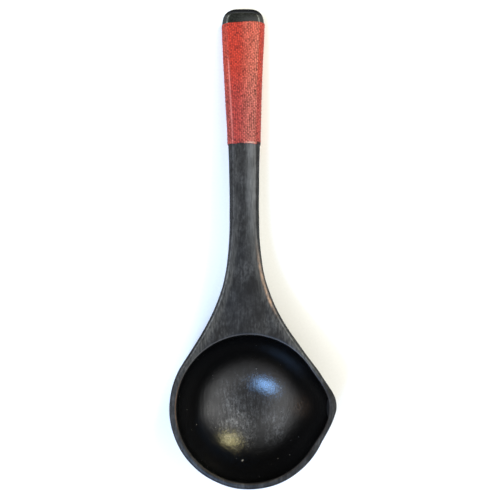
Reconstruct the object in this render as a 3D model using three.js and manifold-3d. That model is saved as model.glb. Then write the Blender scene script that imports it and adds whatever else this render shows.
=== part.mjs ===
// A hand-carved wooden ladle with a pouring beak, a lacquer lining and a cloth-bound grip.
// Units are millimetres. The ladle is drawn flat first: the origin is the centre of the bowl's
// mouth, +Y runs along the handle, +X points to the beak, and z = 0 is the plane of the rim.
// It is then tipped back until the bowl and the handle's end both rest on the table, z = 0.

import * as THREE from "three";
import { mergeVertices } from "three/addons/utils/BufferGeometryUtils.js";
import Module from "manifold-3d";

const degrees = THREE.MathUtils.degToRad;

// The bowl's mouth is a circle drawn a little off the hollow's centre, so its rim varies in width.
// Its hull is an ellipsoid, stretched at the back until it melts into the handle.
const bowl = { radius: 37.6, offsetX: -0.35, offsetY: 0.3, depth: 32, edge: 1.0, backStretch: 0.4 };
const hollow = { radius: 34.8, depth: 28.6, beakReach: 3.4, beakHalfAngle: degrees(33) };
const lining = { thickness: 0.6, gap: 0.3 };

const handle = { length: 197.7, thickness: 9.4, buttThickness: 8.7, edge: 1.9, crown: 0.8 };
const arch = { height: 9, from: 38, to: 165 };
const neck = { y: 92, left: -9.6, right: 4.75 };
const handleSides = [
  { y: 160, left: -12.05, right: 5.95 },
  { y: 130, left: -10.35, right: 5.15 },
  { y: 104, left: -9.65, right: 4.65 },
  neck,
];
const butt = { left: -13.5, right: 7.3, shoulderY: 189.5, endY: handle.length };
const beak = {
  above: [38.3, 9.4],
  corner: [43.3, 2.8],
  below: [40.6, -3.6],
  flank: [39.2, -9.0],
  start: degrees(-30),
};
const shoulder = { leftFootAngle: degrees(150 - 360), rightFoot: new THREE.Vector2(33, 17.6) };

const grip = { from: 128.0, to: 189.6, clothThickness: 0.7, proud: 0.3, gap: 0.3, capThickness: 2 };
const rest = { tilt: degrees(9.6), shiftY: -2.16, height: 31.4 };

const outlineSteps = { side: 56, beak: 12, bowl: 54, butt: 20 };
const edgeSteps = 3;
const undersideSteps = 12;
const hollowSteps = { around: 72, down: 12 };

const { lerp, smoothstep } = THREE.MathUtils;

// ---- plan outline -------------------------------------------------------------------------

// Reads a side of the handle at one height, from closely spaced points on its curve.
function pointAt(points, y) {
  const i = points.findIndex((point) => point.y <= y);
  const [above, below] = [points[Math.max(i - 1, 0)], points[Math.max(i, 1)]];
  const share = (above.y - y) / (above.y - below.y);
  return above.clone().lerp(below, share);
}

const bowlX = (angle) => bowl.offsetX + bowl.radius * Math.cos(angle);
const bowlY = (angle) => bowl.offsetY + bowl.radius * Math.sin(angle);

// One side of the handle, from the butt down to the neck.
function handleSide(side) {
  const path = new THREE.Path();
  path.moveTo(butt[side], butt.shoulderY);
  path.splineThru(handleSides.map((place) => new THREE.Vector2(place[side], place.y)));
  return path;
}

// The outline of the ladle from above, clockwise from the right-hand side of the butt.
function planOutline() {
  const { leftFootAngle, rightFoot } = shoulder;
  const rightSide = handleSide("right");
  rightSide.bezierCurveTo(neck.right, 55, 13.8, 43.2, rightFoot.x, rightFoot.y);

  const leftFootY = bowlY(leftFootAngle);
  const leftSide = handleSide("left");
  leftSide.bezierCurveTo(neck.left, 55, -17.8, 44.9, bowlX(leftFootAngle), leftFootY);

  const beakPath = new THREE.Path();
  beakPath.moveTo(rightFoot.x, rightFoot.y);
  beakPath.lineTo(...beak.above);
  beakPath.quadraticCurveTo(...beak.corner, ...beak.below);
  beakPath.quadraticCurveTo(...beak.flank, bowlX(beak.start), bowlY(beak.start));

  const bowlArc = new THREE.Path();
  bowlArc.absarc(bowl.offsetX, bowl.offsetY, bowl.radius, beak.start, leftFootAngle, true);

  // The butt's end is nearly straight between two rounded corners.
  const end = new THREE.Path();
  end.moveTo(butt.left, butt.shoulderY);
  end.bezierCurveTo(butt.left, 194.6, -11.2, butt.endY - 0.6, -6.8, butt.endY - 0.1);
  end.quadraticCurveTo(-2.8, butt.endY + 0.1, 1.2, butt.endY - 0.1);
  end.bezierCurveTo(5.2, butt.endY - 0.6, butt.right, 194.6, butt.right, butt.shoulderY);

  // Both sides are read at the same heights, so that they meet along the spine.
  const right = rightSide.getSpacedPoints(outlineSteps.side);
  const finePoints = leftSide.getSpacedPoints(20 * outlineSteps.side);
  const left = right.map((point) => pointAt(finePoints, Math.max(point.y, leftFootY)));
  return [
    ...right.slice(0, -1),
    ...beakPath.getSpacedPoints(outlineSteps.beak).slice(0, -1),
    ...bowlArc.getSpacedPoints(outlineSteps.bowl).slice(0, -1),
    ...left.reverse().slice(0, -1),
    ...end.getSpacedPoints(outlineSteps.butt).slice(0, -1),
  ];
}

// Draws a clockwise outline in by a distance, square to each point's own stretch.
function drawnIn(outline, distance) {
  return outline.map((point, i) => {
    const before = outline[(i + outline.length - 1) % outline.length];
    const after = outline[(i + 1) % outline.length];
    const along = after.clone().sub(before).normalize();
    return new THREE.Vector2(point.x + along.y * distance, point.y - along.x * distance);
  });
}

// ---- shape of the carved block --------------------------------------------------------------

const archHeight = (y) => arch.height * smoothstep(y, arch.from, arch.to);

// The line that the outline shrinks towards: the bowl's centre, then the handle's middle.
function spinePoint(point) {
  const y = Math.min(point.y, butt.shoulderY);
  const middle = -2.4 * smoothstep(y, 20, 60) - 0.75 * smoothstep(y, 90, 200);
  return new THREE.Vector2(middle, y * smoothstep(y, 20, 75));
}

// The slab that makes the handle and the shoulders fades out towards the middle of the bowl.
function slabThickness(y) {
  const whole = lerp(handle.thickness, handle.buttThickness, smoothstep(y, 100, 190));
  return whole * smoothstep(y, 0, 45);
}

// One column of points for one point of the outline: down from the spine, over the rounded edge
// and under to the keel. Here "share" is 1 at the outline and 0 on the spine.
function sectionColumn(outlinePoint, edgePoint, shrink) {
  const spine = spinePoint(outlinePoint);
  const reach = edgePoint.distanceTo(spine);
  const outward = edgePoint.clone().sub(spine).normalize();
  const isBowl = spine.y === 0;
  const beakReach = isBowl ? reach - bowl.radius + shrink : 0;
  const onHandle = smoothstep(outlinePoint.y, 20, 70);
  const edge = lerp(bowl.edge, handle.edge, onHandle);
  const roundness = lerp(2, 2.8, smoothstep(outlinePoint.y, 40, 110));

  const placeAt = (share) => {
    const across = (reach - beakReach) * share + beakReach * share ** 4;
    return outward.clone().multiplyScalar(across).add(spine);
  };
  const depthAt = (share, place) => {
    const slab = slabThickness(place.y) * (1 - share ** roundness) ** (1 / roundness);
    const towardsNeck = smoothstep(place.y, 5, 42);
    const backStretch = 1 + bowl.backStretch * towardsNeck;
    const fromCentre = Math.hypot(place.x, place.y / backStretch) / bowl.radius;
    const offCentre = isBowl ? share : Math.min(fromCentre, 1);
    const slope = isBowl ? 0.5 : lerp(0.5, 0.95, towardsNeck);
    const round = bowl.depth * (1 - offCentre ** 2) ** slope * (1 - share ** 8) ** (1 / 8);
    return (slab ** 3 + round ** 3) ** (1 / 3);
  };
  const keelDepth = depthAt(0, spine);
  const column = [];
  const addPoint = (share, height) => {
    const place = placeAt(share);
    const lift = height - shrink + archHeight(place.y);
    column.push(new THREE.Vector3(place.x, place.y, lift));
  };

  for (const share of [0, 0.45, 0.75]) {
    const toEdge = share * (1 - edge / reach);
    addPoint(toEdge, handle.crown * onHandle * (1 - share ** 2));
  }
  for (let i = 0; i <= edgeSteps; i += 1) {
    const turn = (i / edgeSteps) * (Math.PI / 2);
    const inset = edge * (1 - Math.sin(turn));
    addPoint(1 - inset / reach, edge * (Math.cos(turn) - 1));
  }
  for (let i = 1; i <= undersideSteps; i += 1) {
    const share = Math.cos((i / undersideSteps) * (Math.PI / 2)) ** (2 / roundness);
    const below = depthAt(share, placeAt(share));
    const fitted = edge + below * (1 - (edge + 2 * shrink) / keelDepth);
    addPoint(share, -fitted);
  }
  return column;
}

// The whole block. A positive shrink draws it in by that much all round; a negative one lets it out.
function carvedBlock(shrink) {
  const outline = planOutline();
  const edgePoints = drawnIn(outline, shrink);
  return closedSkin(outline.map((point, i) => sectionColumn(point, edgePoints[i], shrink)));
}

// The bowl's hollow as a solid, with the beak's groove, grown outwards by a wall's thickness.
function hollowSolid(grow, topHeight) {
  const columns = [];
  for (let i = 0; i < hollowSteps.around; i += 1) {
    const angle = Math.PI - (i / hollowSteps.around) * 2 * Math.PI;
    const offBeak = Math.min(Math.abs(angle) / hollow.beakHalfAngle, 1);
    const groove = hollow.beakReach * Math.cos(offBeak * (Math.PI / 2)) ** 2;
    const column = [new THREE.Vector3(0, 0, topHeight)];
    for (let j = -1; j <= hollowSteps.down; j += 1) {
      const turn = (Math.max(j, 0) / hollowSteps.down) * (Math.PI / 2);
      const across = (hollow.radius + grow + groove * Math.cos(turn) ** 3) * Math.cos(turn);
      const height = j < 0 ? topHeight : -(hollow.depth + grow) * Math.sin(turn);
      column.push(new THREE.Vector3(across * Math.cos(angle), across * Math.sin(angle), height));
    }
    columns.push(column);
  }
  return closedSkin(columns);
}

// Joins columns of points into a skin. The columns run clockwise seen from above, each from the
// top down, and the first and last points of all of them close up on each other.
function closedSkin(columns) {
  const around = columns.length;
  const down = columns[0].length;
  const indices = [];
  for (let i = 0; i < around; i += 1) {
    const here = i * down;
    const next = ((i + 1) % around) * down;
    for (let j = 0; j + 1 < down; j += 1) {
      indices.push(here + j, next + j, here + j + 1);
      indices.push(next + j, next + j + 1, here + j + 1);
    }
  }
  const geometry = new THREE.BufferGeometry().setFromPoints(columns.flat());
  geometry.setIndex(indices);
  return geometry;
}

// A box across the handle between two places along it.
function handleBand(fromY, toY) {
  const band = new THREE.BoxGeometry(60, toY - fromY, 60);
  return band.translate(0, (fromY + toY) / 2, 0);
}

// ---- solids ---------------------------------------------------------------------------------

const wasm = await Module();
wasm.setup();

function toSolid(geometry) {
  const bare = geometry.clone();
  bare.deleteAttribute("normal");
  bare.deleteAttribute("uv");
  const merged = mergeVertices(bare, 1e-4);
  const corners = merged.index.array;
  const triangles = [];
  for (let i = 0; i < corners.length; i += 3) {
    const [a, b, c] = corners.slice(i, i + 3);
    if (a !== b && b !== c && c !== a) {
      triangles.push(a, b, c);
    }
  }
  return new wasm.Manifold(new wasm.Mesh({
    numProp: 3,
    vertProperties: new Float32Array(merged.attributes.position.array),
    triVerts: new Uint32Array(triangles),
  }));
}

function toGeometry(solid) {
  const mesh = solid.getMesh();
  const geometry = new THREE.BufferGeometry();
  geometry.setAttribute("position", new THREE.BufferAttribute(mesh.vertProperties, 3));
  geometry.setIndex(new THREE.BufferAttribute(mesh.triVerts, 1));
  geometry.computeVertexNormals();
  return geometry;
}

// Turns a solid of the flat drawing into the pose the ladle rests in.
function tipBack(solid) {
  return toSolid(toGeometry(solid).rotateX(-rest.tilt).translate(0, rest.shiftY, rest.height));
}

const tableTop = toSolid(new THREE.BoxGeometry(200, 600, 60).translate(0, 0, -30));
const beyondButt = 2 * handle.length;
const aboveRim = 12;
const clothInset = grip.clothThickness - grip.proud;
const coreInset = clothInset + grip.gap;
const coreEnd = handle.length - grip.capThickness;

const block = toSolid(carvedBlock(0));
const core = toSolid(carvedBlock(coreInset));
const clothInside = toSolid(carvedBlock(clothInset));
const clothOutside = toSolid(carvedBlock(-grip.proud));

// The wood steps down to a thinner core, which the cloth and the lacquer cap cover.
const wood = block
  .subtract(toSolid(handleBand(grip.from - grip.gap, beyondButt)))
  .add(core.intersect(toSolid(handleBand(grip.from - 1, coreEnd))))
  .subtract(toSolid(hollowSolid(lining.thickness + lining.gap, aboveRim)));

const liningSkin = toSolid(hollowSolid(lining.thickness, 0))
  .subtract(toSolid(hollowSolid(0, aboveRim)));

const cloth = clothOutside
  .subtract(clothInside)
  .intersect(toSolid(handleBand(grip.from, grip.to)));

const coreRoom = clothInside.intersect(toSolid(handleBand(0, coreEnd + grip.gap)));
const cap = block
  .intersect(toSolid(handleBand(grip.to + grip.gap, beyondButt)))
  .subtract(coreRoom);

// ---- materials and scene --------------------------------------------------------------------

const materials = {
  satinLacquer: new THREE.MeshStandardMaterial({ color: 0x3a3a3b, roughness: 0.5, metalness: 0 }),
  glossLining: new THREE.MeshStandardMaterial({ color: 0x0e0c0b, roughness: 0.12, metalness: 0 }),
  redCloth: new THREE.MeshStandardMaterial({ color: 0xbe4a3d, roughness: 0.6, metalness: 0 }),
  glossEnd: new THREE.MeshStandardMaterial({ color: 0x1c1d1b, roughness: 0.2, metalness: 0 }),
};

const pieces = [
  ["ladle_body", wood, materials.satinLacquer],
  ["bowl_lining", liningSkin, materials.glossLining],
  ["grip_cloth", cloth, materials.redCloth],
  ["butt_cap", cap, materials.glossEnd],
];

const ladle = new THREE.Group();
ladle.name = "ladle";
for (const [name, solid, material] of pieces) {
  const mesh = new THREE.Mesh(toGeometry(tipBack(solid).subtract(tableTop)), material);
  mesh.name = name;
  ladle.add(mesh);
}

export default ladle;
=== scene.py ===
"""A black-lacquered wooden ladle with a red-lacquered cloth grip, lying on a pale table.

The shapes are drawn in the ladle's flat frame, in millimetres. The origin is the centre of the bowl's
mouth, +Y runs along the handle, +X points to the beak and z = 0 is the rim's plane. to_row() then tips
them back into the row frame, in metres, where the bowl and the handle's end rest on the table at z = 0.
"""

import math

import bpy
import numpy as np
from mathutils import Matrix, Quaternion, Vector


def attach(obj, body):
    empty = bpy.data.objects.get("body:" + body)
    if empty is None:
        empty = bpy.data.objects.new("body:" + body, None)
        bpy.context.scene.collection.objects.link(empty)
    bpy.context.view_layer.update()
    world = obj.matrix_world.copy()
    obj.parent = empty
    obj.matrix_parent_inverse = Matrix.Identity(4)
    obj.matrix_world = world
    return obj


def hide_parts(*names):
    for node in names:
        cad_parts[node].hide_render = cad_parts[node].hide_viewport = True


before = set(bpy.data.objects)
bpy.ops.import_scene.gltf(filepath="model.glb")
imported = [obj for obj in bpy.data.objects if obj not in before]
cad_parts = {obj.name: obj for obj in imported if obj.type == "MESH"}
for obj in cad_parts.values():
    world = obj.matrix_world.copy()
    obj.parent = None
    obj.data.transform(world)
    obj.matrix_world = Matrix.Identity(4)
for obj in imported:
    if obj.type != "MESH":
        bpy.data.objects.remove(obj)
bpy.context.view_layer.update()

# ---- driving dimensions, in millimetres ------------------------------------------------------

TILT = math.radians(9.6)
REST_SHIFT_Y = -2.16
REST_HEIGHT = 31.4

BOWL_RADIUS = 37.85
BOWL_CENTRE = (-0.1, 0.3)
BOWL_DEPTH = 32.0
BACK_STRETCH = 0.4
HOLLOW_RADIUS = 34.8
HOLLOW_DEPTH = 28.6
GROOVE_REACH = 3.4
GROOVE_HALF_ANGLE = math.radians(33)

HANDLE_THICKNESS = 9.4
BUTT_THICKNESS = 8.7
CROWN = 0.8
ARCH_HEIGHT = 9.0
ARCH_SPAN = (38, 165)
BUTT_END = 197.7
BUTT_SHOULDER = 189.5
BUTT_TURN = 194.6

# Where the bowl's hull melts into the handle, and where the top face begins to crown.
HULL_TO_HANDLE = (5, 42)
FLAT_TO_CROWNED = (20, 70)

# The outline in plan, as x and y.
BUTT_LEFT, BUTT_RIGHT = (-13.5, BUTT_SHOULDER), (7.3, BUTT_SHOULDER)
NECK_LEFT, NECK_RIGHT = (-9.6, 92), (4.75, 92)
LEFT_SIDE = [NECK_LEFT, (-9.65, 104), (-10.35, 130), (-12.05, 160), BUTT_LEFT]
RIGHT_SIDE = [BUTT_RIGHT, (5.95, 160), (5.15, 130), (4.65, 104), NECK_RIGHT]
LEFT_FLARE = [(-17.0, 44.6), (-9.6, 55)]
RIGHT_FLARE = [(4.75, 55), (13.8, 43.2)]
LEFT_FOOT_ANGLE = math.radians(-210)
RIGHT_FOOT = (33, 17.6)
BEAK_ABOVE, BEAK_CORNER, BEAK_BELOW = (38.3, 9.4), (43.2, 2.8), (40.5, -3.4)
BEAK_FLANK = (38.9, -8.2)
BEAK_START_ANGLE = math.radians(-25)
END_LEFT, END_MIDDLE, END_RIGHT = (-6.8, BUTT_END - 0.1), (-2.8, BUTT_END + 0.1), (1.2, BUTT_END - 0.1)
SIDE_STEPS, FLARE_STEPS, BOWL_STEPS = 26, 90, 260
BEAK_STEPS, END_STEPS = (12, 30, 24), (20, 12, 20)

CLOTH_FROM = 128.0
CLOTH_TO = 189.6
CLOTH_PROUD = 0.3
LAP_ANGLE = math.radians(-112)
WARP_PITCH = 0.94
WEFT_PITCH = 0.88
CORE_INSET = 0.5
CAP_START = 188.3

# The lining's face stands this far inside the wood's hollow.
LINING_BED = 0.25
LINING_THICKNESS = 0.22

WOOD_CELL = 0.62
CAP_CELL = 0.35

# ---- light and camera, in metres and watts ---------------------------------------------------

BOWL_MIDDLE = (0.0, 0.0, 0.02)
LAMP_DISTANCE = 1.2

# Each lamp's direction from the bowl, its size, its power, its colour and its spin in degrees.
LAMPS = {
    "key": ((0.41, 0.757, 0.51), (0.22, 0.28), 5.1, (1.0, 0.90, 0.44), 0),
    "window": ((0.246, 0.40, 0.88), (0.05, 0.14), 0.46, (1.0, 0.99, 0.95), 0),
    "sky": ((-0.37, -0.37, 0.85), (0.46, 0.19), 7.2, (0.36, 0.76, 1.50), 20),
    "right_box": ((0.85, 0.16, 0.50), (0.34, 0.36), 0.5, (1.0, 0.98, 0.95), 0),
    "left_box": ((-0.64, 0.42, 0.64), (0.26, 0.40), 0.28, (1.0, 1.0, 1.0), 0),
}
STUDIO_COLOUR = (0.99, 0.995, 1.0, 1)
TABLE_REACH = 30.0
CAMERA_PLACE = (0.00033, 0.073, 0.5)
CAMERA_LENS, CAMERA_SENSOR = 71.0, 36

rng = np.random.default_rng(7)


# ---- small helpers ---------------------------------------------------------------------------


def smoothstep(value, low, high):
    """0 below the low value, 1 above the high one and smooth between them."""
    t = np.clip((value - low) / (high - low), 0, 1)
    return t * t * (3 - 2 * t)


def lerp(a, b, share):
    """A value between a and b."""
    return a + (b - a) * share


def bell(value, middle, half_width):
    """1 at the middle, falling off smoothly on both sides of it."""
    return np.exp(-(((value - middle) / half_width) ** 2))


def to_row(points):
    """Tips points of the flat drawing back into the resting pose, in metres."""
    x, y, z = np.asarray(points, float).T
    c, s = math.cos(TILT), math.sin(TILT)
    turned = np.stack([x, y * c + z * s + REST_SHIFT_Y, z * c - y * s + REST_HEIGHT], 1)
    return turned / 1000


def row_height(y, z):
    """Height over the table of a point of the flat drawing, in millimetres."""
    return z * math.cos(TILT) - y * math.sin(TILT) + REST_HEIGHT


def bezier(points, steps):
    """A Bezier curve of any degree through its control points, without its last point."""
    t = np.linspace(0, 1, steps, endpoint=False)[:, None]
    n = len(points) - 1
    weights = [math.comb(n, i) * t**i * (1 - t) ** (n - i) for i in range(n + 1)]
    return sum(w * np.array(p, float) for w, p in zip(weights, points))


def catmull_rom(points, steps):
    """A smooth curve through all the points, without its last point."""
    p = np.array([points[0], *points, points[-1]], float)
    parts = []
    t = np.linspace(0, 1, steps, endpoint=False)[:, None]
    for a, b, c, d in zip(p, p[1:], p[2:], p[3:]):
        v0, v1 = (c - a) / 2, (d - b) / 2
        parts.append((2 * b - 2 * c + v0 + v1) * t**3 + (-3 * b + 3 * c - 2 * v0 - v1) * t**2 + v0 * t + b)
    return np.concatenate(parts)


# ---- plan outline ----------------------------------------------------------------------------


def on_bowl(angle):
    """A point of the rim's outer circle."""
    return (
        BOWL_CENTRE[0] + BOWL_RADIUS * math.cos(angle),
        BOWL_CENTRE[1] + BOWL_RADIUS * math.sin(angle),
    )


def plan_outline():
    """The ladle's outline from above, clockwise from the right-hand side of the butt."""
    arc = np.linspace(BEAK_START_ANGLE, LEFT_FOOT_ANGLE, BOWL_STEPS, endpoint=False)
    left_corner = [(BUTT_LEFT[0], BUTT_TURN), (-11.2, BUTT_END - 0.6)]
    right_corner = [(5.2, BUTT_END - 0.6), (BUTT_RIGHT[0], BUTT_TURN)]
    pieces = [
        catmull_rom(RIGHT_SIDE, SIDE_STEPS),
        bezier([NECK_RIGHT, *RIGHT_FLARE, RIGHT_FOOT], FLARE_STEPS),
        bezier([RIGHT_FOOT, BEAK_ABOVE], BEAK_STEPS[0]),
        bezier([BEAK_ABOVE, BEAK_CORNER, BEAK_BELOW], BEAK_STEPS[1]),
        bezier([BEAK_BELOW, BEAK_FLANK, on_bowl(BEAK_START_ANGLE)], BEAK_STEPS[2]),
        np.array([on_bowl(angle) for angle in arc]),
        bezier([on_bowl(LEFT_FOOT_ANGLE), *LEFT_FLARE, NECK_LEFT], FLARE_STEPS),
        catmull_rom(LEFT_SIDE, SIDE_STEPS),
        bezier([BUTT_LEFT, *left_corner, END_LEFT], END_STEPS[0]),
        bezier([END_LEFT, END_MIDDLE, END_RIGHT], END_STEPS[1]),
        bezier([END_RIGHT, *right_corner, BUTT_RIGHT], END_STEPS[2]),
    ]
    return np.concatenate(pieces)


class PlanMap:
    """The signed distance to the outline, negative inside it, read from a fine grid in plan."""

    STEP = 0.4
    GROWTH = 0.25
    LOW = np.array([-50.0, -50.0])
    HIGH = np.array([54.0, 210.0])

    def __init__(self, outline):
        self.xs = np.arange(self.LOW[0], self.HIGH[0], self.STEP)
        self.ys = np.arange(self.LOW[1], self.HIGH[1], self.STEP)
        self.grid = np.stack([self.exact(outline, self.xs, y) for y in self.ys], 1) - self.GROWTH

    @staticmethod
    def exact(outline, xs, y):
        """The distance from a row of points to the outline."""
        start, end = outline, np.roll(outline, -1, 0)
        along = end - start
        offset = np.stack([xs[:, None] - start[:, 0], y - start[:, 1][None].repeat(len(xs), 0)], 2)
        share = np.clip((offset * along).sum(2) / (along**2).sum(1), 0, 1)
        gap = np.sqrt(((offset - share[..., None] * along) ** 2).sum(2).min(1))
        crosses = (start[:, 1] > y) != (end[:, 1] > y)
        rise = np.where(crosses, along[:, 1], 1.0)
        at_x = start[:, 0] + along[:, 0] * (y - start[:, 1]) / rise
        inside = (crosses & (xs[:, None] < at_x)).sum(1) % 2 == 1
        return np.where(inside, -gap, gap)

    def __call__(self, x, y):
        """The distance at any points, read between the grid's nearest four."""
        u = np.clip((x - self.LOW[0]) / self.STEP, 0, len(self.xs) - 1.001)
        v = np.clip((y - self.LOW[1]) / self.STEP, 0, len(self.ys) - 1.001)
        i, j = u.astype(int), v.astype(int)
        u, v = u - i, v - j
        g = self.grid
        near = g[i, j] * (1 - u) + g[i + 1, j] * u
        far = g[i, j + 1] * (1 - u) + g[i + 1, j + 1] * u
        return near * (1 - v) + far * v


plan_distance = PlanMap(plan_outline())


# ---- the carved block as a distance-like field, negative inside ------------------------------


def arch(y):
    """How high the handle's slow arch lifts the top face."""
    return ARCH_HEIGHT * smoothstep(y, *ARCH_SPAN)


def middle_x(y):
    """The middle line of the handle, which leans to the left."""
    return -2.4 * smoothstep(y, 20, 60) - 0.75 * smoothstep(y, 90, 200)


def edge_depth(y):
    """How far below the top face the ladle is widest."""
    return lerp(1.0, 2.2, smoothstep(y, *FLAT_TO_CROWNED))


def bevel(y):
    """The hand-cut bevel along the top edge: its width in plan, its drop and the steep strip outside it."""
    to_neck, to_grip = smoothstep(y, 66, 98), smoothstep(y, 108, 138)
    width = 0.8 - 0.2 * smoothstep(y, 20, 50) + 0.6 * to_neck + 0.8 * to_grip
    drop = 0.4 + 0.3 * to_neck + 0.8 * to_grip
    steep = 0.45 + 0.35 * smoothstep(y, 12, 40) + 0.1 * to_neck - 0.45 * to_grip
    rolled_end = smoothstep(y, 192, 196)
    width, drop = width + 0.7 * rolled_end, drop + 0.4 * rolled_end
    return width, drop, steep


def round_max(a, b, radius):
    """The overlap of two solids, with the edge between them rounded."""
    corner = np.hypot(np.maximum(radius + a, 0), np.maximum(radius + b, 0))
    return np.minimum(-radius, np.maximum(a, b)) + corner


def round_min(a, b, radius):
    """Two solids joined, with a fillet in the corner between them."""
    return -round_max(-a, -b, radius)


def bowl_share(x, y, radius, reach):
    """How far out a point lies in a bowl, 0 at the centre and 1 at the wall, with a beak on the +X side."""
    off = np.hypot(x, y)
    share = off / radius
    for _ in range(4):
        share = off / (radius + reach * share**6)
    return share


def groove(x, y):
    """How far the beak's groove reaches past the hollow's circle in a point's direction."""
    toward = np.minimum(np.abs(np.arctan2(y, x)) / GROOVE_HALF_ANGLE, 1)
    return GROOVE_REACH * np.cos(toward * math.pi / 2) ** 2


def hull_field(x, y, drop, edge_distance):
    """The bowl's hull melted into the handle's slab; drop is the depth under the rounded edge."""
    depth = np.maximum(drop, 0)
    least_slope = 0.01

    # The bowl: an ellipsoid under its outline, which turns into a stretched one towards the handle.
    rounding, edge_at_bowl = 0.4, 1
    toward_neck = smoothstep(y, *HULL_TO_HANDLE)
    power = 1 / lerp(0.5, 0.95, toward_neck)
    from_outline = 1 + (edge_distance - rounding) / BOWL_RADIUS
    stretched = np.hypot(x, y / (1 + BACK_STRETCH * toward_neck)) / (BOWL_RADIUS + rounding)
    share = np.maximum(lerp(from_outline, stretched, smoothstep(y, 8, 26)), 0)
    deep = BOWL_DEPTH - edge_at_bowl
    level = share**2 + (depth / deep) ** power - 1
    slope = np.hypot(2 * share / BOWL_RADIUS, power * (depth / deep) ** (power - 1) / deep)
    bowl = level / np.maximum(slope, least_slope)

    # The handle: a superellipse below its edge, squarer towards the grip.
    least_half, most_half, edge_at_handle = 3.0, 20.0, 2.0
    half = np.clip(-plan_distance(middle_x(y), y), least_half, most_half)
    round_power = lerp(2.0, 2.8, smoothstep(y, 40, 110))
    thick = lerp(HANDLE_THICKNESS, BUTT_THICKNESS, smoothstep(y, 100, 190)) - edge_at_handle
    thick = thick * smoothstep(y, 0, 45) + 0.01
    across = np.maximum(1 + edge_distance / half, 0)
    level = across**round_power + (depth / thick) ** round_power - 1
    slope = round_power * np.hypot(
        across ** (round_power - 1) / half, (depth / thick) ** (round_power - 1) / thick
    )
    slab = level / np.maximum(slope, 2 * least_slope)
    far_away, fillet = 5.0, 5.0
    slab = np.where(y < 8, far_away, slab)
    return round_min(bowl, slab, fillet)


def hand_carved(x, y, z):
    """Slow swells that a knife and a brush leave, a tenth of a millimetre high."""
    swell = np.sin(0.21 * y + 0.13 * x + 1.1) * np.sin(0.17 * x - 0.06 * y + 0.3 * z)
    swell = swell + 0.5 * np.sin(0.33 * y - 0.31 * x + 0.22 * z + 2.0)
    return 0.06 * swell


def top_height(x, y):
    """The upper face: flat round the bowl, crowned along the handle."""
    half = 8.0
    off = np.clip((x - middle_x(y)) / half, -1.2, 1.2)
    return arch(y) + CROWN * smoothstep(y, *FLAT_TO_CROWNED) * (1 - off**2)


def nominal_field(x, y, z):
    """The ladle as if it were one solid block, without its hollow."""
    edge_distance = plan_distance(x, y)
    drop = arch(y) - edge_depth(y) - z
    solid = round_max(hull_field(x, y, drop, edge_distance), edge_distance, 0.5)
    width, fall, steep = bevel(y)
    below = z - arch(y)
    strip = edge_depth(y) - fall
    side = ((edge_distance + steep) * strip + (below + fall) * steep) / np.hypot(strip, steep)
    facet = ((edge_distance + steep + width) * fall + below * width) / np.hypot(fall, width)
    solid = round_max(solid, side, 0.4)
    solid = round_max(solid, facet, 0.35)
    return round_max(solid, z - top_height(x, y), 0.4) + hand_carved(x, y, z)


def upper_arris(x, y):
    """How far a point lies in plan from the line where the bevel meets the top face."""
    width, _, steep = bevel(y)
    return plan_distance(x, y) + steep + width


def hollow_field(x, y, z, grow):
    """The bowl's hollow, negative inside it."""
    radius, deep = HOLLOW_RADIUS + grow, HOLLOW_DEPTH + grow
    share = bowl_share(x, y, radius, groove(x, y))
    depth = np.maximum(-z, 0)
    level = share**2 + (depth / deep) ** 2 - 1
    slope = 2 * np.hypot(share / radius, depth / deep**2)
    return level / np.maximum(slope, 0.01)


def body_field(x, y, z):
    """The wood: the block with its hollow, and a thinner core under the cloth."""
    solid = nominal_field(x, y, z)
    solid = solid + CORE_INSET * smoothstep(y, CLOTH_FROM + 0.6, CLOTH_FROM + 1.6)
    solid = round_max(solid, -hollow_field(x, y, z, LINING_BED), 0.5)
    solid = np.maximum(solid, y - (CAP_START - 0.1))
    return np.maximum(solid, -row_height(y, z))


def cap_field(x, y, z):
    """The lacquered end of the handle."""
    solid = round_max(nominal_field(x, y, z), CAP_START - y, 0.3)
    return np.maximum(solid, -row_height(y, z))


# ---- meshing a field -------------------------------------------------------------------------


def field_slope(field, points, probe):
    """How much the field grows across each point along X, Y and Z, over twice the probe's length."""
    x, y, z = points.T
    return np.stack(
        [
            field(x + probe, y, z) - field(x - probe, y, z),
            field(x, y + probe, z) - field(x, y - probe, z),
            field(x, y, z + probe) - field(x, y, z - probe),
        ],
        1,
    )


def settle_on_surface(field, points, steps=4, reach=0.6):
    """Slides points onto the field's zero surface along its slope."""
    probe = 0.02
    for _ in range(steps):
        value = field(*points.T)
        slope = field_slope(field, points, probe) / (2 * probe)
        steep = np.maximum((slope**2).sum(1), 0.05)
        move = -(value / steep)[:, None] * slope
        length = np.linalg.norm(move, axis=1, keepdims=True)
        move = move * np.minimum(1, reach / np.maximum(length, 1e-9))
        points = points + move
    return points


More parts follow.
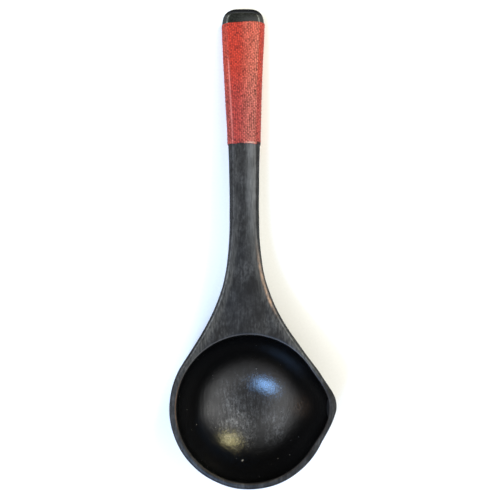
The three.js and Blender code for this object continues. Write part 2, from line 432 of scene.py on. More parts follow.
def mesh_field(field, low, high, step):
    """Surface nets: one vertex in each cell the surface crosses, one quad for each crossed edge."""
    axes = [np.arange(a, b + step, step) for a, b in zip(low, high)]
    x, y, z = np.meshgrid(*axes, indexing="ij")
    slices = [field(x[:, j], y[:, j], z[:, j])[:, None] for j in range(len(axes[1]))]
    value = np.concatenate(slices, 1).astype(np.float32)
    inside = value < 0
    shape = np.array(value.shape) - 1
    corners = [(i, j, k) for i in (0, 1) for j in (0, 1) for k in (0, 1)]

    def at(grid, c):
        """The grid's values at one corner of every cell."""
        return grid[c[0] : c[0] + shape[0], c[1] : c[1] + shape[1], c[2] : c[2] + shape[2]]

    count = sum(at(inside, c).astype(np.int8) for c in corners)
    cells = np.argwhere((count > 0) & (count < 8))
    total = np.zeros((len(cells), 3))
    weight = np.zeros(len(cells))
    for axis in range(3):
        for c in corners:
            if c[axis]:
                continue
            a = cells + c
            b = a.copy()
            b[:, axis] += 1
            va = value[tuple(a.T)]
            vb = value[tuple(b.T)]
            crossed = (va < 0) != (vb < 0)
            share = np.where(crossed, va / np.where(crossed, va - vb, 1), 0)
            point = a.astype(float)
            point[:, axis] += share
            total += point * crossed[:, None]
            weight += crossed
    points = total / weight[:, None] * step + np.array(low)

    number = np.full(shape, -1, np.int32)
    number[tuple(cells.T)] = np.arange(len(cells))
    quads = []
    for axis in range(3):
        u, v = (axis + 1) % 3, (axis + 2) % 3
        ahead = np.roll(inside, -1, axis)
        where = np.argwhere(inside != ahead)
        where = where[(where[:, axis] < shape[axis]) & (where[:, u] > 0) & (where[:, v] > 0)]
        where = where[(where[:, u] < shape[u]) & (where[:, v] < shape[v])]
        ring = []
        for du, dv in ((1, 1), (0, 1), (0, 0), (1, 0)):
            cell = where.copy()
            cell[:, u] -= du
            cell[:, v] -= dv
            ring.append(number[tuple(cell.T)])
        ring = np.stack(ring, 1)
        flip = ~inside[tuple(where.T)]
        ring[flip] = ring[flip][:, ::-1]
        quads.append(ring[:, ::-1])
    return points, np.concatenate(quads)


def make_object(name, points, faces, material, stands_for):
    """A smooth-shaded mesh in the row frame that rides on the ladle's one body."""
    mesh = bpy.data.meshes.new(name)
    mesh.from_pydata(to_row(points).tolist(), [], faces.tolist() if hasattr(faces, "tolist") else faces)
    mesh.validate()
    mesh.shade_smooth()
    mesh.materials.append(material)
    piece = bpy.data.objects.new(name, mesh)
    bpy.context.scene.collection.objects.link(piece)
    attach(piece, "root")
    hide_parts(stands_for)
    return piece


def store(piece, name, values):
    """Stores one number for each vertex, for the piece's material to read."""
    attribute = piece.data.attributes.new(name, "FLOAT", "POINT")
    attribute.data.foreach_set("value", np.asarray(values, np.float32))


# ---- materials -------------------------------------------------------------------------------


class Nodes:
    """A small builder for a material's nodes."""

    def __init__(self, name):
        self.material = bpy.data.materials.new(name)
        self.material.use_nodes = True
        self.tree = self.material.node_tree
        self.shader = self.tree.nodes["Principled BSDF"]
        self.coordinates = self.add("ShaderNodeTexCoord").outputs["Object"]

    def add(self, kind, **settings):
        """A new node with some of its properties set."""
        node = self.tree.nodes.new(kind)
        for key, value in settings.items():
            setattr(node, key, value)
        return node

    def link(self, output, node, socket):
        self.tree.links.new(output, node.inputs[socket])

    def stretched(self, scale):
        """Object coordinates in millimetres, scaled along each axis."""
        mapping = self.add("ShaderNodeMapping")
        mapping.inputs["Scale"].default_value = [1000 * s for s in scale]
        self.link(self.coordinates, mapping, "Vector")
        return mapping.outputs["Vector"]

    def noise(self, scale, detail=3.0, roughness=0.5):
        """Noise with so many waves a millimetre along each axis."""
        node = self.add("ShaderNodeTexNoise")
        node.inputs["Scale"].default_value = 1.0
        node.inputs["Detail"].default_value = detail
        node.inputs["Roughness"].default_value = roughness
        self.link(self.stretched(scale), node, "Vector")
        return node.outputs["Fac"]

    def ramp(self, factor, stops):
        """Maps a factor through (place, value) stops."""
        node = self.add("ShaderNodeValToRGB")
        ramp = node.color_ramp
        while len(ramp.elements) < len(stops):
            ramp.elements.new(0.5)
        for element, (place, colour) in zip(ramp.elements, stops):
            element.position = place
            if not hasattr(colour, "__len__"):
                colour = (colour, colour, colour)
            element.color = (*colour, 1)
        self.link(factor, node, "Fac")
        return node.outputs["Color"]

    def math(self, operation, a, b):
        node = self.add("ShaderNodeMath", operation=operation)
        for i, value in enumerate((a, b)):
            if isinstance(value, (int, float)):
                node.inputs[i].default_value = value
            else:
                self.tree.links.new(value, node.inputs[i])
        return node.outputs[0]

    def product(self, a, b):
        return self.math("MULTIPLY", a, b)

    def mix(self, factor, a, b):
        """A colour between a and b."""
        node = self.add("ShaderNodeMix", data_type="RGBA")
        for index, value in ((0, factor), (6, a), (7, b)):
            if isinstance(value, (int, float)):
                node.inputs[index].default_value = value
            elif hasattr(value, "__len__"):
                node.inputs[index].default_value = (*value, 1)
            else:
                self.tree.links.new(value, node.inputs[index])
        return node.outputs[2]

    def attribute(self, name):
        """A number that store() put on the piece."""
        return self.add("ShaderNodeAttribute", attribute_name=name).outputs["Fac"]

    def band(self, name, middle, half_width):
        """1 where a stored distance has one value, fading to 0 on both sides of it."""
        node = self.add("ShaderNodeMapRange", interpolation_type="SMOOTHSTEP")
        away = self.math("ABSOLUTE", self.math("SUBTRACT", self.attribute(name), middle), 0)
        self.link(away, node, "Value")
        for socket, value in (("From Min", 0.0), ("From Max", half_width), ("To Min", 1.0), ("To Max", 0.0)):
            node.inputs[socket].default_value = value
        return node.outputs["Result"]

    def bump(self, height, distance, strength=1.0, after=None):
        """A bump with its depth in millimetres, on top of another bump if one is given."""
        node = self.add("ShaderNodeBump")
        node.inputs["Distance"].default_value = distance / 1000
        node.inputs["Strength"].default_value = strength
        self.link(height, node, "Height")
        if after is not None:
            self.link(after, node, "Normal")
        return node.outputs["Normal"]

    def finish(self, **constants):
        """Sets plain values on the shader and hands over the material."""
        for key, value in constants.items():
            self.shader.inputs[key.replace("_", " ")].default_value = value
        return self.material


def satin_lacquer():
    """Black lacquer over grain, with bare wood along one worn edge; painted sheen on the handle's right half
    and round the bevel, painted highlights along the bevel and the lip, painted shade at the shoulder and on
    the steep sides.
    """
    n = Nodes("satin_black_lacquer")
    black, shaded_outside_black, dark_patch_colour = (0.0012, 0.0012, 0.0015), (0.0008, 0.0008, 0.0010), (0.004, 0.004, 0.005)
    dull_grey, shaded_outside_grey = (0.058, 0.058, 0.058), (0.017, 0.017, 0.017)
    sheen_right_grey, highlight_and_rubbed_grey = (0.142, 0.142, 0.138), (0.175, 0.175, 0.170)
    sheen_band_grey = (0.092, 0.089, 0.080)
    lip_brown, bare_wood = (0.16, 0.095, 0.06), (0.40, 0.255, 0.16)

    streaks = n.noise((1.2, 0.11, 1.2), 4.0, 0.62)
    mottles = n.noise((0.9, 0.55, 0.9), 3.0, 0.6)
    blotches = n.noise((0.17, 0.10, 0.17), 4.0, 0.62)
    fibres = n.noise((4.0, 0.3, 4.0), 3.0, 0.6)
    clouds = n.noise((0.09, 0.03, 0.09), 3.0)
    specks = n.noise((2.4, 2.4, 2.4), 2.0)
    chips = n.noise((0.9, 0.28, 0.9), 4.0, 0.7)
    side = n.attribute("side")

    # The grain on the top face, painted sheen and painted shade, and the outside painted darker and made
    # rougher.
    grain = n.ramp(streaks, [(0.32, 0.2), (0.66, 1.0)])
    grain = n.product(grain, n.ramp(mottles, [(0.34, 0.3), (0.62, 1.0)]))
    dull = n.product(grain, n.ramp(blotches, [(0.36, 0.05), (0.62, 1.0)]))
    colour = n.mix(dull, black, dull_grey)
    # Painted sheen: the handle's right half is lighter, where the light falls on the crowned top.
    painted_sheen_right = n.product(n.attribute("painted_sheen_right"), n.ramp(blotches, [(0.34, 0.55), (0.6, 1.0)]))
    painted_sheen_right = n.product(painted_sheen_right, n.ramp(streaks, [(0.34, 0.5), (0.64, 1.0)]))
    colour = n.mix(painted_sheen_right, colour, sheen_right_grey)
    # Painted sheen in a soft band round the bevel.
    painted_edge_sheen = n.product(n.attribute("shine"), n.band("from_arris", -1.6, 2.4))
    painted_edge_sheen = n.product(painted_edge_sheen, n.ramp(streaks, [(0.36, 0.1), (0.62, 0.8)]))
    colour = n.mix(painted_edge_sheen, colour, sheen_band_grey)
    # Painted shade darkening the top face at the shoulder.
    colour = n.mix(n.attribute("painted_shoulder_shade"), colour, dark_patch_colour)
    # Painted shade: the steep sides and the underside are darker.
    colour = n.mix(side, colour, n.mix(n.product(grain, 0.9), shaded_outside_black, shaded_outside_grey))

    # Thin painted highlights along the bevel and the bowl's lip, partly rubbed lacquer, and the streak worn
    # down to the wood.
    shine = n.product(n.attribute("shine"), n.band("from_arris", 0.0, 0.6))
    shine = n.product(shine, n.ramp(mottles, [(0.36, 0.2), (0.6, 0.8)]))
    colour = n.mix(shine, colour, highlight_and_rubbed_grey)
    lip = n.band("from_hollow", 0.0, 0.55)
    colour = n.mix(n.product(lip, n.attribute("lip_shine")), colour, highlight_and_rubbed_grey)
    rubbed = n.product(lip, n.ramp(specks, [(0.35, 0.4), (0.62, 1.0)]))
    colour = n.mix(n.product(rubbed, n.attribute("lip_brown")), colour, lip_brown)
    worn = n.product(n.attribute("worn"), n.band("from_arris", -0.2, 1.15))
    worn = n.product(worn, n.ramp(chips, [(0.38, 0.25), (0.56, 1.0)]))
    colour = n.mix(worn, colour, bare_wood)
    n.link(colour, n.shader, "Base Color")

    rough = n.math("ADD", n.ramp(clouds, [(0.3, 0.36), (0.7, 0.48)]), n.product(side, 0.25))
    n.link(rough, n.shader, "Roughness")
    coarse = n.bump(n.math("ADD", streaks, mottles), 0.06, 0.6)
    n.link(n.bump(fibres, 0.02, 0.6, coarse), n.shader, "Normal")
    return n.finish(Specular_IOR_Level=0.25)


def gloss_lining():
    """Gloss black lacquer with a pale haze painted into the bottom as reflected light, a brown stain, dust
    and one chip.
    """
    n = Nodes("gloss_black_lining")
    black, painted_reflection_grey = (0.0010, 0.0010, 0.0011), (0.17, 0.167, 0.161)
    brown_stain, dust_grey, chip_white = (0.030, 0.016, 0.008), (0.25, 0.24, 0.22), (0.75, 0.74, 0.72)

    brush = n.noise((0.30, 0.22, 0.30), 3.0, 0.55)
    fine = n.noise((1.3, 0.9, 1.3), 4.0, 0.65)
    strokes = n.noise((0.8, 0.20, 0.8), 5.0, 0.62)
    clouds = n.noise((0.22, 0.16, 0.22), 3.0, 0.6)
    # Painted reflection: a pale, patchy haze in the bottom's colour.
    reflection_haze = n.ramp(fine, [(0.36, 0.15), (0.60, 1.0)])
    reflection_haze = n.product(reflection_haze, n.ramp(strokes, [(0.40, 0.1), (0.60, 1.0)]))
    reflection_haze = n.product(reflection_haze, n.attribute("reflection_haze"))
    reflection_haze = n.product(reflection_haze, n.ramp(clouds, [(0.38, 0.25), (0.58, 1.0)]))
    colour = n.mix(reflection_haze, black, painted_reflection_grey)
    brown = n.product(n.attribute("brown"), n.ramp(fine, [(0.4, 0.2), (0.65, 1.0)]))
    colour = n.mix(brown, colour, brown_stain)
    dust = n.ramp(n.noise((1.1, 1.1, 1.1), 1.0), [(0.80, 0.0), (0.82, 1.0)])
    colour = n.mix(dust, colour, dust_grey)
    colour = n.mix(n.attribute("chip"), colour, chip_white)
    n.link(colour, n.shader, "Base Color")

    uneven = n.math("ADD", n.product(clouds, 0.6), n.product(fine, 0.4))
    hazy_patches = n.product(n.attribute("reflection_haze"), 0.03)
    rough = n.math("ADD", n.ramp(uneven, [(0.40, 0.08), (0.58, 0.145)]), hazy_patches)
    n.link(rough, n.shader, "Roughness")
    coarse = n.bump(brush, 0.12, 0.35, n.bump(strokes, 0.07, 0.8))
    n.link(n.bump(fine, 0.10, 1.0, coarse), n.shader, "Normal")
    return n.finish(Specular_IOR_Level=0.45)


def gloss_end():
    """The black lacquer of the handle's end, with painted glints at the bevel's corners, painted sheen on
    its top and flanks, and painted shade on its end face and sides.
    """
    n = Nodes("gloss_black_end")
    dark, light, painted_glint_grey = (0.008, 0.0085, 0.0065), (0.024, 0.025, 0.021), (0.34, 0.35, 0.31)
    end_sheen_grey, shaded_end_black, shaded_side_black = (0.050, 0.050, 0.048), (0.001, 0.001, 0.001), (0.002, 0.002, 0.002)

    flow = n.noise((0.35, 0.35, 0.35), 2.0)
    fine = n.noise((1.2, 1.2, 1.2), 3.0)
    colour = n.mix(n.ramp(fine, [(0.35, 0.0), (0.7, 1.0)]), dark, light)
    # Painted sheen: the top face is lighter towards the right.
    colour = n.mix(n.attribute("painted_top_sheen"), colour, end_sheen_grey)
    # Painted glints at the bevel's two top corners.
    pale = n.product(n.attribute("arris"), n.ramp(fine, [(0.38, 0.2), (0.62, 1.0)]))
    colour = n.mix(pale, colour, painted_glint_grey)
    # Painted sheen on the flanking bevels.
    colour = n.mix(n.attribute("flank"), colour, end_sheen_grey)
    # Painted shade: the end face, turned away from the light, is darker.
    colour = n.mix(n.attribute("end"), colour, shaded_end_black)
    # Painted shade on the steep sides.
    n.link(n.mix(n.attribute("side"), colour, shaded_side_black), n.shader, "Base Color")
    n.link(n.ramp(flow, [(0.35, 0.22), (0.65, 0.34)]), n.shader, "Roughness")
    n.link(n.bump(fine, 0.05, 0.6), n.shader, "Normal")
    return n.finish(Specular_IOR_Level=0.03)


def red_cloth():
    """Red lacquer over coarse cloth, with painted shade between the threads and a painted sheen that makes
    the right side paler.
    """
    n = Nodes("red_lacquered_cloth")
    left_gap, left_crown = (0.140, 0.008, 0.005), (0.55, 0.030, 0.012)
    left_gap_faded, left_crown_faded = (0.11, 0.012, 0.011), (0.44, 0.044, 0.034)
    right_gap = (0.095, 0.020, 0.013)
    right_crown, right_crown_faded = (0.68, 0.160, 0.104), (0.55, 0.144, 0.108)
    painted_arris_highlight, hem_highlight_cream, dark_patch_colour = (0.72, 0.21, 0.17), (0.62, 0.42, 0.32), (0.02, 0.008, 0.006)

    thread, faded = n.attribute("thread"), n.attribute("faded")
    patch = n.noise((0.16, 0.06, 0.16), 3.0, 0.55)
    fuzz = n.noise((4.0, 2.0, 4.0), 4.0, 0.65)
    pits = n.noise((1.5, 0.75, 1.5), 3.0, 0.65)
    # Painted sheen: the right side is paler and browner, where the light falls.
    painted_cloth_sheen = n.product(n.attribute("painted_cloth_sheen"), n.ramp(patch, [(0.32, 0.6), (0.62, 1.0)]))

    # Painted shade between the threads: the gap colours are the shaded copy, the crown colours the lit
    # thread tops.
    gap = n.mix(painted_cloth_sheen, n.mix(faded, left_gap, left_gap_faded), right_gap)
    crown_left = n.mix(faded, left_crown, left_crown_faded)
    crown_right = n.mix(faded, right_crown, right_crown_faded)
    crown = n.mix(painted_cloth_sheen, crown_left, crown_right)
    pitted = n.product(n.math("SUBTRACT", pits, 0.5), 1.1)
    uneven = n.math("ADD", thread, pitted)
    colour = n.mix(n.ramp(uneven, [(0.22, 0.0), (0.92, 1.0)]), gap, crown)
    # Painted highlight along the left bevel line.
    colour = n.mix(n.attribute("arris"), colour, painted_arris_highlight)
    # Painted highlight along the lower hem.
    colour = n.mix(n.attribute("hem_highlight"), colour, hem_highlight_cream)
    # Darker at the hem's right corner.
    colour = n.mix(n.attribute("dark_hem_corner"), colour, dark_patch_colour)
    n.link(colour, n.shader, "Base Color")
    n.link(n.ramp(patch, [(0.3, 0.36), (0.7, 0.5)]), n.shader, "Roughness")
    n.link(n.bump(fuzz, 0.05, 0.8), n.shader, "Normal")
    return n.finish(Specular_IOR_Level=0.20)


# ---- wood and lacquered end ------------------------------------------------------------------


def settle_and_build(name, field, low, high, step, material, node):
    """A piece meshed from its field between two corners of a box, with its vertices."""
    points, quads = mesh_field(field, low, high, step)
    points = settle_on_surface(field, points)
    return make_object(name, points, quads, material, node), points


def arris_closeness(points, width):
    """1 on the line where the top face meets its bevel, falling off over a few tenths of a millimetre."""
    x, y, z = points.T
    return np.exp(-((upper_arris(x, y) / width) ** 2)) * (z > arch(y) - 2.5)


def painted_shade_sides(points):
    """1 on the steep sides and the underside, 0 on the bevel and the top face: the mask for the sides'
    painted shade, and on the wood for their extra roughness.
    """
    _, y, z = points.T
    _, fall, _ = bevel(y)
    return smoothstep((arch(y) - z) / (1.4 * fall + 0.2), 0.7, 1.1)


def wood_piece():
    """Bowl, beak and handle in one block, with its wear, and its painted sheen, highlights and shade, stored
    on it.
    """
    low, high = (-41, -41, -33), (44, CAP_START + 1, 12)
    body, points = settle_and_build(
        "ladle_wood", body_field, low, high, WOOD_CELL, satin_lacquer(), "ladle_body"
    )
    x, y, z = points.T
    on_top_face = z > arch(y) - 2
    on_right = x > middle_x(y)
    right_half = smoothstep(x, -3.0, 1.2) * smoothstep(-upper_arris(x, y), -0.6, 0.2)
    left_side = smoothstep(-x, 15, 33) * smoothstep(14 - np.abs(y - 1), 0, 10)
    at_lip = z > -0.9
    store(body, "from_arris", np.clip(upper_arris(x, y), -4, 4))
    store(body, "from_hollow", np.clip(hollow_field(x, y, z, LINING_BED), -3, 3))
    # Painted shade on the steep sides and the underside.
    store(body, "side", painted_shade_sides(points))
    store(body, "worn", on_right * on_top_face * np.maximum(0.75 * bell(y, 64, 10), bell(y, 53, 6)))
    # Painted sheen on the handle's right half.
    store(body, "painted_sheen_right", right_half * smoothstep(y, 62, 104) * on_top_face)
    # Painted sheen and highlight lines along the bevel, partly rubbed lacquer.
    store(body, "shine", on_top_face * smoothstep(y, 8, 30) * (0.75 - 0.5 * smoothstep(y, 66, 92)))
    # Painted shade at the shoulder.
    store(body, "painted_shoulder_shade", 0.55 * bell(x - middle_x(y), 1, 8) * bell(y, 49, 10) * on_top_face)
    # Painted highlight along the bowl's lip.
    store(body, "lip_shine", 0.42 * at_lip * smoothstep(y, 8, 22))
    store(body, "lip_brown", at_lip * (0.10 + 0.90 * left_side))


def end_piece():
    """The lacquered end of the handle, rolled over at its edge."""
    low, high = (-15, CAP_START - 1, -2), (9, BUTT_END + 1, 12)
    cap, points = settle_and_build(
        "lacquered_end", cap_field, low, high, CAP_CELL, gloss_end(), "butt_cap"
    )
    x, y, z = points.T
    before_turn = smoothstep(BUTT_TURN - y, 0, 1.5)
    at_sides = smoothstep(np.abs(x - middle_x(y)), 5.5, 7.5) * before_turn
    outside = smoothstep(upper_arris(x, y), -0.2, 0.3)
    # Painted glints at the bevel's corners.
    store(cap, "arris", arris_closeness(points, 0.35) * at_sides)
    # Painted shade on the end face.
    store(cap, "end", smoothstep(y, 193.6, 195.2) * outside)
    # Painted sheen on the top face and the flanks.
    store(cap, "painted_top_sheen", 0.8 * smoothstep(x, -9, 3) * smoothstep(194.5 - y, 0, 4) * (z > arch(y) - 2))
    store(cap, "flank", 0.8 * before_turn * outside)
    # Painted shade on the steep sides.
    store(cap, "side", painted_shade_sides(points))


# ---- lining ----------------------------------------------------------------------------------


def lining_rings(around=288, down=84):
    """Rings of a thin glossy skin: down the inside from just under the rim, and back up behind it."""
    angle = np.linspace(0, 2 * math.pi, around, endpoint=False)
    reach = groove(np.cos(angle), np.sin(angle))
    lip = math.radians(1.6)
    turns = lip + (math.pi / 2 - lip) * np.linspace(0, 1, down) ** 0.9
    turns[-1] = math.radians(89.6)
    rings = []
    for grow, order in ((0.0, turns), (LINING_THICKNESS, turns[::-1])):
        for turn in order:
            c, s = math.cos(turn), math.sin(turn)
            across = (HOLLOW_RADIUS + grow + reach * c**6) * c
            across = across + 0.05 * np.sin(3 * angle + 5 * turn) * math.sin(2 * turn)
            depth = np.full(around, -(HOLLOW_DEPTH + grow) * s)
            rings.append(np.stack([across * np.cos(angle), across * np.sin(angle), depth], 1))
    return rings


def lining_faces(rings):
    """Quads between neighbouring rings, open between the two skins' bottoms, where a fan closes each."""
    around, half = len(rings[0]), len(rings) // 2
    faces = []
    for k in range(len(rings)):
        below = (k + 1) % len(rings)
        if k == half - 1:
            continue
        for i in range(around):
            j = (i + 1) % around
            faces.append((k * around + i, k * around + j, below * around + j, below * around + i))
    faces.append(tuple((half - 1) * around + i for i in range(around)))
    faces.append(tuple(half * around + i for i in range(around))[::-1])
    return faces


def lining_piece():
    """The gloss lining, with its painted reflection haze, its brown stain and its chip stored on it."""
    rings = lining_rings()
    points = np.concatenate(rings)
    lining = make_object(
        "lacquer_lining", points, lining_faces(rings), gloss_lining(), "bowl_lining"
    )
    x, y, _ = points.T
    # Where the bottom is painted paler as reflected light, strongest left of the middle; the same mask adds
    # roughness.
    hazy_patches = np.maximum(bell(x, -8, 9) * bell(y, -6, 14), 0.55 * bell(x, 13, 6) * bell(y, -7, 11))
    store(lining, "reflection_haze", smoothstep(-np.hypot(x, y), -25, -15) * (0.16 + 0.84 * hazy_patches))
    store(lining, "brown", bell(np.hypot(x - 24.5, y - 1), 0, 4.5))
    store(lining, "chip", bell(np.hypot((x + 3.4) / 1.5, y + 25.2), 0, 0.2))


# ---- cloth -----------------------------------------------------------------------------------


def section_radii(y, angles):
    """Rays from the middle of the handle's section out to its surface."""
    centre_x = middle_x(y)
    centre_z = arch(y) - 4.0
    low, high = np.full_like(y, 1.0), np.full_like(y, 16.0)
    for _ in range(26):
        mid = (low + high) / 2
        value = nominal_field(centre_x + mid * np.cos(angles), y, centre_z + mid * np.sin(angles))
        low, high = np.where(value < 0, mid, low), np.where(value < 0, high, mid)
    return centre_x, centre_z, (low + high) / 2


def slubs(number, along, spacing):
    """Smooth random swellings along numbered threads, from 0 to 1."""
    table = rng.random((400, 400))
    place = along / spacing + 7
    whole = np.floor(place).astype(int)
    share = smoothstep(place - whole, 0, 1)
    return lerp(table[number % 400, whole % 400], table[number % 400, (whole + 1) % 400], share)


def weave(u_mm, v_mm):
    """The height of the threads in plain weave, uneven in spacing and thickness, from 0 to 1.2."""
    wander_u = 0.30 * np.sin(0.23 * v_mm + 1.3 * np.sin(0.31 * u_mm))
    wander_u = wander_u + 0.12 * np.sin(1.1 * v_mm + 0.9 * u_mm)
    wander_v = 0.35 * np.sin(0.19 * u_mm + 0.8) + 0.15 * np.sin(0.83 * u_mm + 0.21 * v_mm)
    tu, tv = (u_mm + wander_u) / WARP_PITCH, (v_mm + wander_v) / WEFT_PITCH
    warp_no, weft_no = np.floor(tu).astype(int), np.floor(tv).astype(int)
    warp_slub, weft_slub = slubs(warp_no, v_mm, 1.7), slubs(weft_no, u_mm, 1.5)
    warp_lift, weft_lift = 0.80 + 0.35 * warp_slub, 0.58 + 0.40 * weft_slub
    tone = slubs(warp_no, v_mm, 5.0)
    knot = rng.random((400, 400))[warp_no % 400, weft_no % 400]
    a, b = 2 * (tu % 1) - 1, 2 * (tv % 1) - 1
    on_top = 1.0 - 2.0 * ((warp_no + weft_no) % 2)
    warp = (1 - a**2) ** 0.6 * (0.62 + 0.38 * on_top * np.cos(math.pi * b / 2)) * warp_lift
    weft = (1 - b**2) ** 0.6 * (0.52 - 0.38 * on_top * np.cos(math.pi * a / 2)) * weft_lift
    thread = np.maximum(warp, weft) * (0.66 + 0.36 * knot + 0.24 * tone)
    return np.clip(thread, 0, 1.2)


def cloth_sleeve():
    """The bound cloth: a woven strip once round the grip, its end lapped over its start underneath."""
    lap = 5.0
    columns, rows = ((236, 262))
    turn = np.linspace(0, 1, columns)
    v = np.linspace(0, 1, rows)

    # The cut edges wander a little, and the whole strip sits slightly askew.
    lower_edge = CLOTH_FROM + 0.18 * np.sin(9 * turn + 1)
    lower_edge = lower_edge + 0.14 * np.sin(31 * turn) + 0.08 * np.sin(67 * turn)
    upper_edge = CLOTH_TO - 0.1 + 0.5 * np.cos(2 * math.pi * turn - 2.26) + 0.10 * np.sin(27 * turn + 2)
    y = lower_edge[None] + (upper_edge - lower_edge)[None] * v[:, None]

    # Arc length round some sections, so that the threads keep their spacing.
    sections, around = 24, 720
    stations = np.linspace(CLOTH_FROM - 2, CLOTH_TO + 2, sections)
    sweep = np.linspace(0, 2 * math.pi, around + 1)
    grid_y, grid_a = np.meshgrid(stations, LAP_ANGLE + sweep, indexing="ij")
    cx, cz, radius = section_radii(grid_y, grid_a)
    px, pz = cx + radius * np.cos(grid_a), cz + radius * np.sin(grid_a)
    steps = np.cumsum(np.hypot(np.diff(px), np.diff(pz)), 1)
    length = np.concatenate([np.zeros((sections, 1)), steps], 1)
    perimeter = length[:, -1].mean()
    along = turn * (perimeter + lap)
    angle_table = np.stack([np.interp(along % row[-1], row, sweep) for row in length])
    wraps = np.stack([along // row[-1] for row in length])
    angle_table = angle_table + wraps * 2 * math.pi

    # The angle of each point of the strip, read between two sections.
    index = (y - stations[0]) / (stations[1] - stations[0])
    i0 = np.clip(index.astype(int), 0, sections - 2)
    share = index - i0
    column = np.arange(columns)[None].repeat(rows, 0)
    angle = LAP_ANGLE + angle_table[i0, column] * (1 - share) + angle_table[i0 + 1, column] * share
    cx, cz, radius = section_radii(y, angle)
    points = np.stack([cx + radius * np.cos(angle), y, cz + radius * np.sin(angle)], 2)

    u_mm = np.broadcast_to(along[None], y.shape)
    thread = weave(u_mm, y - CLOTH_FROM)
    over = smoothstep(u_mm, perimeter - 1.2, perimeter + 0.3)
    lift = CLOTH_PROUD - 0.12 + 0.26 * thread + 0.42 * over
    return points, lift, thread, perimeter, lap


def outward_normals(points):
    """Each surface point's direction away from the wood."""
    slope = field_slope(nominal_field, points.reshape(-1, 3), 0.05)
    return (slope / np.linalg.norm(slope, axis=1, keepdims=True)).reshape(points.shape)


def cloth_piece():
    """The cloth's outer face, and a narrow turned-in border that shows its thickness."""
    sleeve, lift, thread, perimeter, lap = cloth_sleeve()
    normals = outward_normals(sleeve)
    outer = sleeve + normals * lift[..., None]
    under = sleeve + normals * (np.where(lift > 0.62, 0.32, -0.30))[..., None]

    grid = np.arange(lift.size).reshape(lift.shape)
    border = np.concatenate([grid[0, :], grid[1:, -1], grid[-1, -2::-1], grid[-2:0:-1, 0]])
    inner = lift.size + np.arange(len(border))
    faces = np.stack([grid[:-1, :-1], grid[:-1, 1:], grid[1:, 1:], grid[1:, :-1]], 2).reshape(-1, 4)
    hem = np.stack([border, inner, np.roll(inner, -1), np.roll(border, -1)], 1)
    points = np.concatenate([outer.reshape(-1, 3), under.reshape(-1, 3)[border]])
    height = row_height(points[:, 1], points[:, 2])
    points[:, 2] += np.maximum(0.02 - height, 0)
    faces = np.concatenate([faces, hem])
    cloth = make_object("bound_cloth", points, faces, red_cloth(), "grip_cloth")

    x, y, z = points.T
    on_top_face = z > arch(y) - 2.2
    cloth_thread = np.concatenate([thread.reshape(-1), np.full(len(border), 0.4)])
    store(cloth, "thread", cloth_thread)
    # Painted sheen, paler towards the right.
    painted_cloth_sheen = 0.12 + 0.88 * smoothstep(x, -5.5, 0.5)
    store(cloth, "painted_cloth_sheen", np.where(upper_arris(x, y) > 0.2, 0.35, painted_cloth_sheen))
    # Painted highlight along the left bevel line, strongest in the middle of the grip.
    highlight = bell(upper_arris(x, y), 0, 0.33) * on_top_face * (x < middle_x(y))
    along_grip = 0.12 + 0.88 * smoothstep(174 - y, 0, 8) - 0.35 * smoothstep(143 - y, 0, 8)
    store(cloth, "arris", highlight * along_grip * (0.40 + 0.5 * cloth_thread))
    store(cloth, "faded", smoothstep(172 - y, 0, 30))
    # Painted highlight on the lower hem's edge, right of the middle.
    store(cloth, "hem_highlight", 0.6 * bell(y, CLOTH_FROM + 0.2, 0.45) * bell(x, 0.8, 2.4) * on_top_face)
    # Darker at the hem's right corner.
    at_hem = smoothstep(CLOTH_FROM + 1.5 - y, 0, 0.8)
    store(cloth, "dark_hem_corner", 0.95 * at_hem * smoothstep(x, 3.0, 4.0) * (z > arch(y) - 5))


wood_piece()
end_piece()
lining_piece()
cloth_piece()


# ---- table -----------------------------------------------------------------------------------


def white_paper():
    """Pale paper with a fine tooth."""
    n = Nodes("white_paper")
    tooth = n.noise((0.8, 0.8, 0.8), 3.0)
    n.link(n.ramp(tooth, [(0.3, 0.93), (0.7, 0.96)]), n.shader, "Base Color")
    n.link(n.bump(tooth, 0.02, 0.3), n.shader, "Normal")
    return n.finish(Roughness=0.9, Specular_IOR_Level=0.2)


table_mesh = bpy.data.meshes.new("table")
table_corners = [(x * TABLE_REACH, y * TABLE_REACH, 0) for x, y in ((-1, -1), (1, -1), (1, 1), (-1, 1))]
table_mesh.from_pydata(table_corners, [], [(0, 1, 2, 3)])
table_mesh.materials.append(white_paper())
table = bpy.data.objects.new("table", table_mesh)
bpy.context.scene.collection.objects.link(table)


# ---- light and camera ------------------------------------------------------------------------

scene = bpy.context.scene
scene.view_settings.view_transform = "Standard"
world = bpy.data.worlds.new("studio")
scene.world = world
world.use_nodes = True
sky = world.node_tree
facing = sky.nodes.new("ShaderNodeSeparateXYZ")
sky.links.new(sky.nodes.new("ShaderNodeTexCoord").outputs["Generated"], facing.inputs["Vector"])


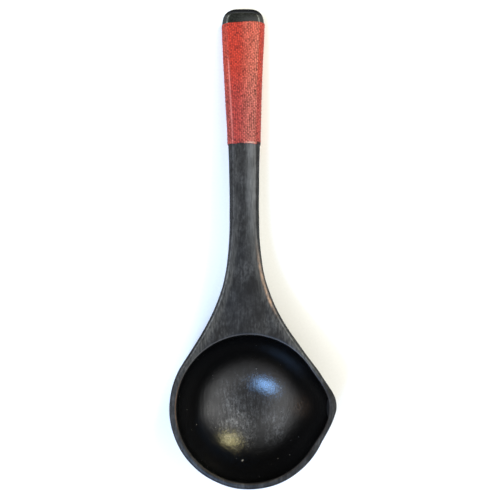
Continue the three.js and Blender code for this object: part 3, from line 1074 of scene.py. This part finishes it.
def fade(source, places, values):
    """A smooth change of the studio's brightness along one direction, between two places."""
    node = sky.nodes.new("ShaderNodeMapRange")
    node.interpolation_type = "SMOOTHSTEP"
    for socket, value in zip(("From Min", "From Max", "To Min", "To Max"), (*places, *values)):
        node.inputs[socket].default_value = value
    sky.links.new(source, node.inputs["Value"])
    return node.outputs["Result"]


def times(a, b):
    """Two brightnesses multiplied together."""
    node = sky.nodes.new("ShaderNodeMath")
    node.operation = "MULTIPLY"
    sky.links.new(a, node.inputs[0])
    sky.links.new(b, node.inputs[1])
    return node.outputs[0]


# A ring of bright ceiling; the walls, the two ends of the room and the spot behind the camera are darker.
overhead = fade(facing.outputs["Z"], (0.28, 0.62), (0.45, 2.50))
zenith = fade(facing.outputs["Z"], (0.78, 0.97), (1.0, 0.29))
far_end = fade(facing.outputs["Y"], (0.15, 0.85), (1.0, 0.28))
near_end = fade(facing.outputs["Y"], (-0.85, -0.15), (0.30, 1.0))
brightness = times(times(overhead, zenith), times(far_end, near_end))
sky.links.new(brightness, sky.nodes["Background"].inputs["Strength"])
sky.nodes["Background"].inputs["Color"].default_value = STUDIO_COLOUR


def soft_light(name, toward, size, power, colour, spin):
    """A rectangular area light that looks at the bowl, turned about its own axis."""
    lamp = bpy.data.lights.new(name, "AREA")
    lamp.shape = "RECTANGLE"
    lamp.size, lamp.size_y = size
    lamp.energy = power
    lamp.color = colour
    light = bpy.data.objects.new(name, lamp)
    direction = Vector(toward).normalized()
    light.location = Vector(BOWL_MIDDLE) + direction * LAMP_DISTANCE
    turn = Quaternion((0, 0, 1), math.radians(spin))
    light.rotation_euler = (direction.to_track_quat("Z", "Y") @ turn).to_euler()
    bpy.context.scene.collection.objects.link(light)


for name, settings in LAMPS.items():
    soft_light(name, *settings)

camera_data = bpy.data.cameras.new("camera")
camera_data.sensor_width = CAMERA_SENSOR
camera_data.lens = CAMERA_LENS
camera = bpy.data.objects.new("camera", camera_data)
camera.location = CAMERA_PLACE
camera.rotation_euler = (0, 0, 0)
scene.collection.objects.link(camera)
scene.camera = camera

bpy.context.view_layer.update()
